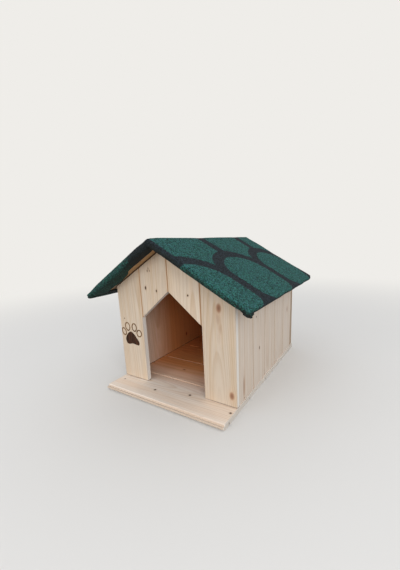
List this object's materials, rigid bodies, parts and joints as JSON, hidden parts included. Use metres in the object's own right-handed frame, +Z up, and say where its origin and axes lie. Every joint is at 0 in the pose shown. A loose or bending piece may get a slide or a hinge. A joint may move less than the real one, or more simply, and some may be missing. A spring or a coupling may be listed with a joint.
{
  "type": "cat house",
  "caption": "Gabled pine cat house of tongue-and-groove boards with a pentagonal doorway, a floor that runs out as a step, and a lift-off roof wrapped in green shingle.",
  "frame": {"origin": "on the ground, at the middle of the whole outline in X and Y", "axes": "+Z up, +X to the right seen from the front, the doorway faces -Y"},
  "size_m": [0.5262, 0.6026, 0.4405],
  "materials": {
    "pine_board": "planed, bare",
    "pine_batten": "sawn, bare",
    "roof_panel": "plywood, bare",
    "shingle": "bitumen sheet with mineral granules",
    "nail": "dulled"
  },
  "bodies": {
    "house": {"floor_board_1": "pine_board", "floor_board_2": "pine_board", "floor_board_3": "pine_board", "floor_board_4": "pine_board", "floor_board_5": "pine_board", "front_board_1": "pine_board", "front_board_2": "pine_board", "front_board_3": "pine_board", "front_board_4": "pine_board", "rear_board_1": "pine_board", "rear_board_2": "pine_board", "rear_board_3": "pine_board", "rear_board_4": "pine_board", "left_board_1": "pine_board", "left_board_2": "pine_board", "left_board_3": "pine_board", "left_board_4": "pine_board", "left_board_5": "pine_board", "right_board_1": "pine_board", "right_board_2": "pine_board", "right_board_3": "pine_board", "right_board_4": "pine_board", "right_board_5": "pine_board", "corner_post_front_left": "pine_batten", "corner_post_front_right": "pine_batten", "corner_post_rear_left": "pine_batten", "corner_post_rear_right": "pine_batten", "lintel_cleat_left": "pine_batten", "lintel_cleat_right": "pine_batten", "rear_batten": "pine_batten", "eave_rail_left": "pine_batten", "eave_rail_right": "pine_batten", "lintel_nails": "nail", "post_nail": "nail", "rear_nails": "nail", "toe_nails": "nail"},
    "roof": {"roof_deck_left": "roof_panel", "roof_deck_right": "roof_panel", "ridge_batten": "pine_batten", "roof_cleat_front_left": "pine_batten", "roof_cleat_front_right": "pine_batten", "roof_cleat_rear_left": "pine_batten", "roof_cleat_rear_right": "pine_batten", "shingle_left": "shingle", "shingle_right": "shingle"}
  },
  "joints": [
    {"name": "roof_lift", "type": "slide", "parent": "house", "child": "roof", "axis": [0, 0, 1], "range_m": [0, 0.2]}
  ]
}
